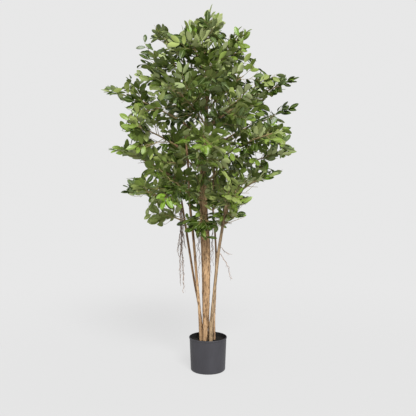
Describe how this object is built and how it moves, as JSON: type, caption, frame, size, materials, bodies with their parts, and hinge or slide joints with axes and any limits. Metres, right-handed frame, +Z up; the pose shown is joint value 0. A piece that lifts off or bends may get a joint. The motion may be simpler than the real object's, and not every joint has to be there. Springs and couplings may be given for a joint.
{
  "type": "artificial potted ficus tree",
  "caption": "Indoor display ficus: slim wooden stems in a plain round pot, a loose leafy head and thin aerial roots.",
  "frame": {"origin": "centre of the pot's flat underside, on the surface that the tree stands on", "axes": "+Z up along the pot's axis; -Y towards the front of the tree, which the picture shows; +X to the right of that view"},
  "size_m": [1.001, 0.8898, 1.7967],
  "materials": {
    "pot_plastic": "satin dark grey moulded plastic",
    "pot_filling": "rough near-black cast filling",
    "stem_wood": "dry tan wood with fine upright bark",
    "aerial_root": "dry grey-brown fibrous roots",
    "foliage": "green leaves, satin above and paler below"
  },
  "bodies": {
    "root": {"aerial_roots_inner_right": "aerial_root", "aerial_roots_left": "aerial_root", "aerial_roots_middle": "aerial_root", "aerial_roots_right": "aerial_root", "back_left_high": "foliage", "back_left_low": "foliage", "back_middle": "foliage", "back_right_high": "foliage", "back_right_low": "foliage", "back_top": "foliage", "bough_back_left_low": "stem_wood", "bough_back_right_low": "stem_wood", "bough_front_left_low": "stem_wood", "bough_front_right_low": "stem_wood", "bough_left_long": "stem_wood", "bough_left_low": "stem_wood", "bough_left_middle": "stem_wood", "bough_left_reach": "stem_wood", "bough_right_fork": "stem_wood", "bough_right_long": "stem_wood", "bough_right_low": "stem_wood", "bough_right_middle": "stem_wood", "bough_right_reach": "stem_wood", "crown_tip": "foliage", "front_foot": "foliage", "front_left_high": "foliage", "front_left_low": "foliage", "front_middle": "foliage", "front_right_high": "foliage", "front_right_low": "foliage", "front_top": "foliage", "heart_back": "foliage", "heart_front": "foliage", "heart_left": "foliage", "heart_right": "foliage", "heart_top": "foliage", "heart_top_left": "foliage", "left_foot": "foliage", "left_long": "foliage", "left_low": "foliage", "left_middle": "foliage", "left_reach": "foliage", "left_shoulder": "foliage", "pot": "pot_plastic", "pot_filling": "pot_filling", "right_foot": "foliage", "right_fork": "foliage", "right_long": "foliage", "right_low": "foliage", "right_middle": "foliage", "right_reach": "foliage", "right_shoulder": "foliage", "stem_left_inner": "stem_wood", "stem_left_outer": "stem_wood", "stem_right_inner": "stem_wood", "stem_right_outer": "stem_wood", "trunk": "stem_wood", "upper_left": "foliage", "upper_right": "foliage"}
  },
  "joints": []
}
